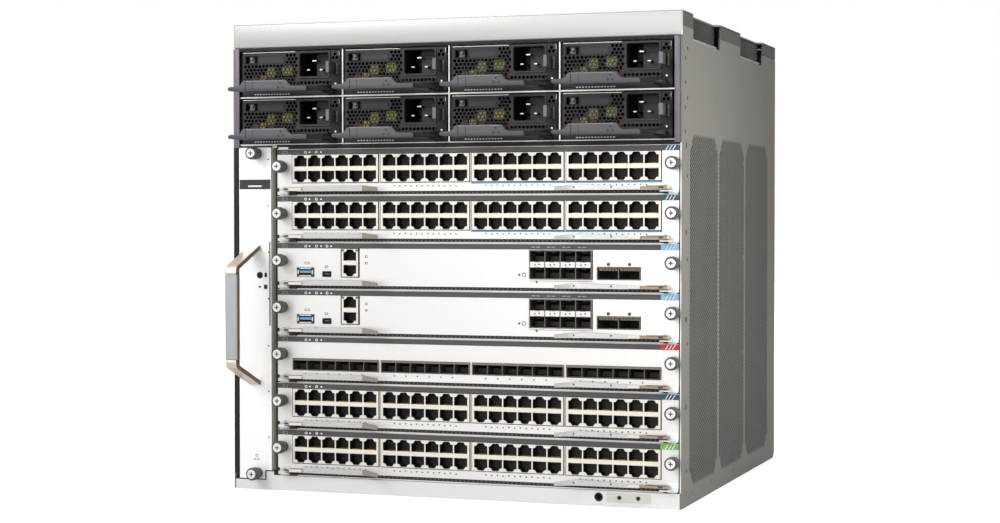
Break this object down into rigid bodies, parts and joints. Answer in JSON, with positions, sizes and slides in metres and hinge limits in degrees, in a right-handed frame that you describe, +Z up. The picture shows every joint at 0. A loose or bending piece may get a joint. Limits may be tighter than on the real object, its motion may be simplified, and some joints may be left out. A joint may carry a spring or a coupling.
{
  "type": "modular chassis switch",
  "caption": "Rack-mount modular network switch chassis with slide-in port cards, fan tray and plug-in power supplies above.",
  "frame": {"origin": "middle of the chassis underside", "axes": "+X to the right, +Y to the back, +Z up"},
  "size_m": [0.4394, 0.464, 0.4422],
  "materials": {
    "side_paint": "satin warm grey",
    "dark_metal": "satin dark grey",
    "satin_metal": "satin silver",
    "cage_metal": "satin",
    "board": "matte green",
    "card_metal": "satin silver grey",
    "lever_metal": "satin",
    "supply_case": "satin dark grey",
    "lever_plastic": "satin grey",
    "tray_metal": "satin silver white",
    "handle_grip": "satin",
    "button_plastic": "matte black",
    "rotor_plastic": "matte black"
  },
  "bodies": {
    "chassis": {"left_side_panel": "side_paint", "right_side_panel": "side_paint", "top_cover": "side_paint", "lift_plates": "dark_metal", "bottom_pan": "side_paint", "rear_panel": "side_paint", "top_bezel": "satin_metal", "bottom_rail": "satin_metal", "power_shelf": "satin_metal", "power_surround": "dark_metal", "power_backplane": "board", "card_cage": "cage_metal", "card_guides": "cage_metal", "backplane": "board"},
    "card_1_body": {"card_1": "card_metal"},
    "card_1_lever_left_body": {"card_1_lever_left": "lever_metal"},
    "card_1_lever_right_body": {"card_1_lever_right": "lever_metal"},
    "card_2_body": {"card_2": "card_metal"},
    "card_2_lever_left_body": {"card_2_lever_left": "lever_metal"},
    "card_2_lever_right_body": {"card_2_lever_right": "lever_metal"},
    "card_3_body": {"card_3": "card_metal"},
    "card_3_lever_left_body": {"card_3_lever_left": "lever_metal"},
    "card_3_lever_right_body": {"card_3_lever_right": "lever_metal"},
    "card_4_body": {"card_4": "card_metal"},
    "card_4_lever_left_body": {"card_4_lever_left": "lever_metal"},
    "card_4_lever_right_body": {"card_4_lever_right": "lever_metal"},
    "card_5_body": {"card_5": "card_metal"},
    "card_5_lever_left_body": {"card_5_lever_left": "lever_metal"},
    "card_5_lever_right_body": {"card_5_lever_right": "lever_metal"},
    "card_6_body": {"card_6": "card_metal"},
    "card_6_lever_left_body": {"card_6_lever_left": "lever_metal"},
    "card_6_lever_right_body": {"card_6_lever_right": "lever_metal"},
    "card_7_body": {"card_7": "card_metal"},
    "card_7_lever_left_body": {"card_7_lever_left": "lever_metal"},
    "card_7_lever_right_body": {"card_7_lever_right": "lever_metal"},
    "power_supply_1_body": {"power_supply_1": "supply_case"},
    "supply_lever_1_body": {"supply_lever_1": "lever_plastic"},
    "power_supply_2_body": {"power_supply_2": "supply_case"},
    "supply_lever_2_body": {"supply_lever_2": "lever_plastic"},
    "power_supply_3_body": {"power_supply_3": "supply_case"},
    "supply_lever_3_body": {"supply_lever_3": "lever_plastic"},
    "power_supply_4_body": {"power_supply_4": "supply_case"},
    "supply_lever_4_body": {"supply_lever_4": "lever_plastic"},
    "power_supply_5_body": {"power_supply_5": "supply_case"},
    "supply_lever_5_body": {"supply_lever_5": "lever_plastic"},
    "power_supply_6_body": {"power_supply_6": "supply_case"},
    "supply_lever_6_body": {"supply_lever_6": "lever_plastic"},
    "power_supply_7_body": {"power_supply_7": "supply_case"},
    "supply_lever_7_body": {"supply_lever_7": "lever_plastic"},
    "power_supply_8_body": {"power_supply_8": "supply_case"},
    "supply_lever_8_body": {"supply_lever_8": "lever_plastic"},
    "fan_tray_body": {"fan_tray": "tray_metal", "fan_handle": "handle_grip"},
    "beacon_button_body": {"beacon_button": "button_plastic"},
    "fan_rotor_1_body": {"fan_rotor_1": "rotor_plastic"},
    "fan_rotor_2_body": {"fan_rotor_2": "rotor_plastic"},
    "fan_rotor_3_body": {"fan_rotor_3": "rotor_plastic"},
    "fan_rotor_4_body": {"fan_rotor_4": "rotor_plastic"},
    "fan_rotor_5_body": {"fan_rotor_5": "rotor_plastic"},
    "fan_rotor_6_body": {"fan_rotor_6": "rotor_plastic"}
  },
  "joints": [
    {"name": "card_1_slide", "type": "slide", "parent": "chassis", "child": "card_1_body", "axis": [0, -1, 0], "range_m": [0, 0.36]},
    {"name": "card_1_lever_left_hinge", "type": "hinge", "parent": "card_1_body", "child": "card_1_lever_left_body", "pos_m": [-0.16465, -0.2116, 0.2867], "axis": [0, 0, -1], "range_deg": [0, 65]},
    {"name": "card_1_lever_right_hinge", "type": "hinge", "parent": "card_1_body", "child": "card_1_lever_right_body", "pos_m": [0.20635, -0.2116, 0.2867], "axis": [0, 0, 1], "range_deg": [0, 65]},
    {"name": "card_2_slide", "type": "slide", "parent": "chassis", "child": "card_2_body", "axis": [0, -1, 0], "range_m": [0, 0.36]},
    {"name": "card_2_lever_left_hinge", "type": "hinge", "parent": "card_2_body", "child": "card_2_lever_left_body", "pos_m": [-0.16465, -0.2116, 0.2425], "axis": [0, 0, -1], "range_deg": [0, 65]},
    {"name": "card_2_lever_right_hinge", "type": "hinge", "parent": "card_2_body", "child": "card_2_lever_right_body", "pos_m": [0.20635, -0.2116, 0.2425], "axis": [0, 0, 1], "range_deg": [0, 65]},
    {"name": "card_3_slide", "type": "slide", "parent": "chassis", "child": "card_3_body", "axis": [0, -1, 0], "range_m": [0, 0.36]},
    {"name": "card_3_lever_left_hinge", "type": "hinge", "parent": "card_3_body", "child": "card_3_lever_left_body", "pos_m": [-0.16465, -0.2116, 0.1983], "axis": [0, 0, -1], "range_deg": [0, 65]},
    {"name": "card_3_lever_right_hinge", "type": "hinge", "parent": "card_3_body", "child": "card_3_lever_right_body", "pos_m": [0.20635, -0.2116, 0.1983], "axis": [0, 0, 1], "range_deg": [0, 65]},
    {"name": "card_4_slide", "type": "slide", "parent": "chassis", "child": "card_4_body", "axis": [0, -1, 0], "range_m": [0, 0.36]},
    {"name": "card_4_lever_left_hinge", "type": "hinge", "parent": "card_4_body", "child": "card_4_lever_left_body", "pos_m": [-0.16465, -0.2116, 0.1541], "axis": [0, 0, -1], "range_deg": [0, 65]},
    {"name": "card_4_lever_right_hinge", "type": "hinge", "parent": "card_4_body", "child": "card_4_lever_right_body", "pos_m": [0.20635, -0.2116, 0.1541], "axis": [0, 0, 1], "range_deg": [0, 65]},
    {"name": "card_5_slide", "type": "slide", "parent": "chassis", "child": "card_5_body", "axis": [0, -1, 0], "range_m": [0, 0.36]},
    {"name": "card_5_lever_left_hinge", "type": "hinge", "parent": "card_5_body", "child": "card_5_lever_left_body", "pos_m": [-0.16465, -0.2116, 0.1099], "axis": [0, 0, -1], "range_deg": [0, 65]},
    {"name": "card_5_lever_right_hinge", "type": "hinge", "parent": "card_5_body", "child": "card_5_lever_right_body", "pos_m": [0.20635, -0.2116, 0.1099], "axis": [0, 0, 1], "range_deg": [0, 65]},
    {"name": "card_6_slide", "type": "slide", "parent": "chassis", "child": "card_6_body", "axis": [0, -1, 0], "range_m": [0, 0.36]},
    {"name": "card_6_lever_left_hinge", "type": "hinge", "parent": "card_6_body", "child": "card_6_lever_left_body", "pos_m": [-0.16465, -0.2116, 0.0657], "axis": [0, 0, -1], "range_deg": [0, 65]},
    {"name": "card_6_lever_right_hinge", "type": "hinge", "parent": "card_6_body", "child": "card_6_lever_right_body", "pos_m": [0.20635, -0.2116, 0.0657], "axis": [0, 0, 1], "range_deg": [0, 65]},
    {"name": "card_7_slide", "type": "slide", "parent": "chassis", "child": "card_7_body", "axis": [0, -1, 0], "range_m": [0, 0.36]},
    {"name": "card_7_lever_left_hinge", "type": "hinge", "parent": "card_7_body", "child": "card_7_lever_left_body", "pos_m": [-0.16465, -0.2116, 0.0215], "axis": [0, 0, -1], "range_deg": [0, 65]},
    {"name": "card_7_lever_right_hinge", "type": "hinge", "parent": "card_7_body", "child": "card_7_lever_right_body", "pos_m": [0.20635, -0.2116, 0.0215], "axis": [0, 0, 1], "range_deg": [0, 65]},
    {"name": "power_supply_1_slide", "type": "slide", "parent": "chassis", "child": "power_supply_1_body", "axis": [0, -1, 0], "range_m": [0, 0.33]},
    {"name": "supply_lever_1_hinge", "type": "hinge", "parent": "power_supply_1_body", "child": "supply_lever_1_body", "pos_m": [-0.11775, -0.213, 0.3794], "axis": [0, 0, 1], "range_deg": [0, 70]},
    {"name": "power_supply_2_slide", "type": "slide", "parent": "chassis", "child": "power_supply_2_body", "axis": [0, -1, 0], "range_m": [0, 0.33]},
    {"name": "supply_lever_2_hinge", "type": "hinge", "parent": "power_supply_2_body", "child": "supply_lever_2_body", "pos_m": [-0.01125, -0.213, 0.3794], "axis": [0, 0, 1], "range_deg": [0, 70]},
    {"name": "power_supply_3_slide", "type": "slide", "parent": "chassis", "child": "power_supply_3_body", "axis": [0, -1, 0], "range_m": [0, 0.33]},
    {"name": "supply_lever_3_hinge", "type": "hinge", "parent": "power_supply_3_body", "child": "supply_lever_3_body", "pos_m": [0.09525, -0.213, 0.3794], "axis": [0, 0, 1], "range_deg": [0, 70]},
    {"name": "power_supply_4_slide", "type": "slide", "parent": "chassis", "child": "power_supply_4_body", "axis": [0, -1, 0], "range_m": [0, 0.33]},
    {"name": "supply_lever_4_hinge", "type": "hinge", "parent": "power_supply_4_body", "child": "supply_lever_4_body", "pos_m": [0.20175, -0.213, 0.3794], "axis": [0, 0, 1], "range_deg": [0, 70]},
    {"name": "power_supply_5_slide", "type": "slide", "parent": "chassis", "child": "power_supply_5_body", "axis": [0, -1, 0], "range_m": [0, 0.33]},
    {"name": "supply_lever_5_hinge", "type": "hinge", "parent": "power_supply_5_body", "child": "supply_lever_5_body", "pos_m": [-0.11775, -0.213, 0.3344], "axis": [0, 0, 1], "range_deg": [0, 70]},
    {"name": "power_supply_6_slide", "type": "slide", "parent": "chassis", "child": "power_supply_6_body", "axis": [0, -1, 0], "range_m": [0, 0.33]},
    {"name": "supply_lever_6_hinge", "type": "hinge", "parent": "power_supply_6_body", "child": "supply_lever_6_body", "pos_m": [-0.01125, -0.213, 0.3344], "axis": [0, 0, 1], "range_deg": [0, 70]},
    {"name": "power_supply_7_slide", "type": "slide", "parent": "chassis", "child": "power_supply_7_body", "axis": [0, -1, 0], "range_m": [0, 0.33]},
    {"name": "supply_lever_7_hinge", "type": "hinge", "parent": "power_supply_7_body", "child": "supply_lever_7_body", "pos_m": [0.09525, -0.213, 0.3344], "axis": [0, 0, 1], "range_deg": [0, 70]},
    {"name": "power_supply_8_slide", "type": "slide", "parent": "chassis", "child": "power_supply_8_body", "axis": [0, -1, 0], "range_m": [0, 0.33]},
    {"name": "supply_lever_8_hinge", "type": "hinge", "parent": "power_supply_8_body", "child": "supply_lever_8_body", "pos_m": [0.20175, -0.213, 0.3344], "axis": [0, 0, 1], "range_deg": [0, 70]},
    {"name": "fan_tray_slide", "type": "slide", "parent": "chassis", "child": "fan_tray_body", "axis": [0, -1, 0], "range_m": [0, 0.42]},
    {"name": "beacon_button_press", "type": "slide", "parent": "fan_tray_body", "child": "beacon_button_body", "axis": [0, 1, 0], "range_m": [0, 0.001], "stiffness_N_per_m": 300},
    {"name": "fan_rotor_1_spin", "type": "hinge", "parent": "fan_tray_body", "child": "fan_rotor_1_body", "pos_m": [-0.1972, -0.139, 0.09265], "axis": [1, 0, 0], "continuous": true},
    {"name": "fan_rotor_2_spin", "type": "hinge", "parent": "fan_tray_body", "child": "fan_rotor_2_body", "pos_m": [-0.1972, -0.015, 0.09265], "axis": [1, 0, 0], "continuous": true},
    {"name": "fan_rotor_3_spin", "type": "hinge", "parent": "fan_tray_body", "child": "fan_rotor_3_body", "pos_m": [-0.1972, 0.109, 0.09265], "axis": [1, 0, 0], "continuous": true},
    {"name": "fan_rotor_4_spin", "type": "hinge", "parent": "fan_tray_body", "child": "fan_rotor_4_body", "pos_m": [-0.1972, -0.139, 0.24265], "axis": [1, 0, 0], "continuous": true},
    {"name": "fan_rotor_5_spin", "type": "hinge", "parent": "fan_tray_body", "child": "fan_rotor_5_body", "pos_m": [-0.1972, -0.015, 0.24265], "axis": [1, 0, 0], "continuous": true},
    {"name": "fan_rotor_6_spin", "type": "hinge", "parent": "fan_tray_body", "child": "fan_rotor_6_body", "pos_m": [-0.1972, 0.109, 0.24265], "axis": [1, 0, 0], "continuous": true}
  ]
}
